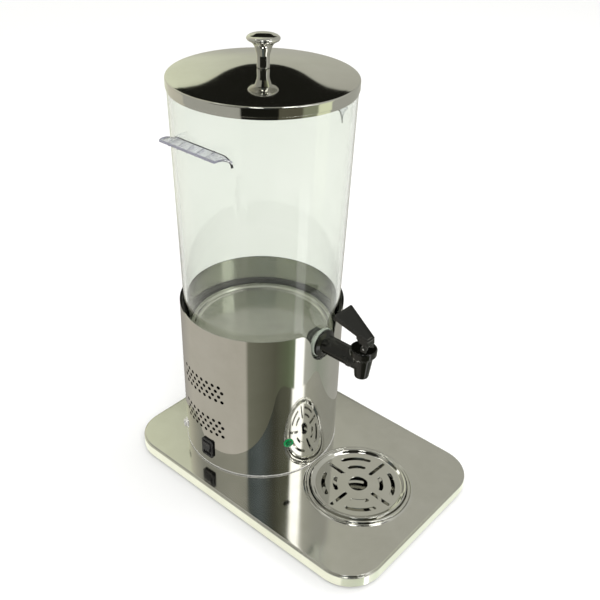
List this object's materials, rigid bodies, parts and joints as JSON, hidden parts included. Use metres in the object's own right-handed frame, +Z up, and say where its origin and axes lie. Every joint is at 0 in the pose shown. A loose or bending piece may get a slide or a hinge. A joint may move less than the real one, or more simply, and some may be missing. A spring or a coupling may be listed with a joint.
{
  "type": "chilled drinks dispenser",
  "caption": "Chilled drinks dispenser: clear round container with lever tap and steel lid on a vented steel tower, on a round-cornered base with a drip grille.",
  "frame": {"origin": "middle of the base's outline, on the surface that the feet stand on", "axes": "+Z up; the tap points along -Y; +X is to the right of someone facing the back of the object from its tap side"},
  "size_m": [0.259, 0.3834, 0.5408],
  "materials": {
    "polished_steel": "mirror polished stainless steel",
    "galvanised_sheet": "satin zinc-coated sheet",
    "aluminium": "satin",
    "zinc_plate": "bright zinc plated",
    "nickel": "bright nickel plated",
    "brass": "bright",
    "spring_steel": "drawn wire",
    "tap_plastic": "gloss black moulded",
    "black_plastic": "satin black moulded",
    "rocker_plastic": "gloss black moulded",
    "fan_plastic": "satin black moulded",
    "rubber": "matt black",
    "silicone": "translucent white",
    "white_plastic": "satin white moulded",
    "clear_plastic": "clear polished, faint green",
    "lamp_green": "translucent green lens",
    "foam": "closed-cell foam",
    "ceramic": "white ceramic",
    "board_green": "solder-masked board",
    "component_blue": "sleeved",
    "red_lead": "insulated lead",
    "white_lead": "insulated lead"
  },
  "bodies": {
    "base": {"base_tray": "polished_steel", "base_bottom_plate": "galvanised_sheet", "foot_1": "rubber", "foot_2": "rubber", "foot_3": "rubber", "foot_4": "rubber", "housing_shell": "polished_steel", "housing_foot_ring": "galvanised_sheet", "housing_screw_1": "zinc_plate", "housing_screw_2": "zinc_plate", "housing_screw_3": "zinc_plate", "housing_screw_4": "zinc_plate", "switch_frame": "black_plastic", "switch_terminals": "brass", "lamp_lens": "lamp_green", "lamp_body": "black_plastic", "inlet_socket": "nickel", "inlet_pin": "brass", "inlet_nut": "nickel", "deck_plate": "galvanised_sheet", "container_seat_ring": "rubber", "insulation_ring": "foam", "cold_plate": "aluminium", "cooling_module": "ceramic", "temperature_sensor": "black_plastic", "heat_sink": "aluminium", "fan_frame": "black_plastic", "fan_screw_1": "zinc_plate", "fan_screw_2": "zinc_plate", "fan_screw_3": "zinc_plate", "fan_screw_4": "zinc_plate", "board_bracket": "zinc_plate", "control_board": "board_green", "power_module": "black_plastic", "capacitor": "component_blue", "wire_power": "red_lead", "wire_switch": "red_lead", "wire_fan": "white_lead"},
    "container": {"container_tube": "clear_plastic", "container_pan": "polished_steel", "pan_seal": "silicone", "handle_left": "clear_plastic", "handle_right": "clear_plastic", "tap_body": "tap_plastic", "tap_gasket": "silicone", "tap_washer": "zinc_plate", "tap_nut": "tap_plastic", "tap_bonnet": "tap_plastic", "lever_pin": "zinc_plate", "tap_spring": "spring_steel"},
    "lid": {"lid_cover": "polished_steel", "lid_knob": "polished_steel", "knob_screw": "zinc_plate"},
    "tap_lever": {"tap_lever": "tap_plastic"},
    "tap_valve": {"tap_stem": "white_plastic", "tap_seat_cup": "silicone"},
    "drip_cup": {"drip_cup": "polished_steel"},
    "drip_grille": {"drip_grille": "polished_steel"},
    "switch_rocker": {"switch_rocker": "rocker_plastic"},
    "fan_rotor": {"fan_rotor": "fan_plastic"}
  },
  "joints": [
    {"name": "container_lift", "type": "slide", "parent": "base", "child": "container", "axis": [0, 0, 1], "range_m": [0, 0.12]},
    {"name": "lid_lift", "type": "slide", "parent": "container", "child": "lid", "axis": [0, 0, 1], "range_m": [0, 0.1]},
    {"name": "tap_lever_pull", "type": "hinge", "parent": "container", "child": "tap_lever", "pos_m": [0, -0.0898, 0.2312], "axis": [1, 0, 0], "range_deg": [0, 45], "stiffness_Nm_per_rad": 0.3, "springref_deg": -17.19},
    {"name": "tap_valve_lift", "type": "slide", "parent": "container", "child": "tap_valve", "axis": [0, 0, 1], "range_m": [0, 0.0034], "deforming": ["tap_spring"]},
    {"name": "drip_cup_lift", "type": "slide", "parent": "base", "child": "drip_cup", "axis": [0, 0, 1], "range_m": [0, 0.06]},
    {"name": "drip_grille_lift", "type": "slide", "parent": "drip_cup", "child": "drip_grille", "axis": [0, 0, 1], "range_m": [0, 0.05]},
    {"name": "switch_rock", "type": "hinge", "parent": "base", "child": "switch_rocker", "pos_m": [-0.097, 0.0697, 0.0472], "axis": [0, 1, 0], "range_deg": [0, 14]},
    {"name": "fan_spin", "type": "hinge", "parent": "base", "child": "fan_rotor", "pos_m": [0, 0.0712, 0.125], "axis": [0, 0, 1], "continuous": true}
  ],
  "couplings": [
    {"joint": "tap_valve_lift", "follows": "tap_lever_pull", "m_per_rad": 0.0042}
  ]
}
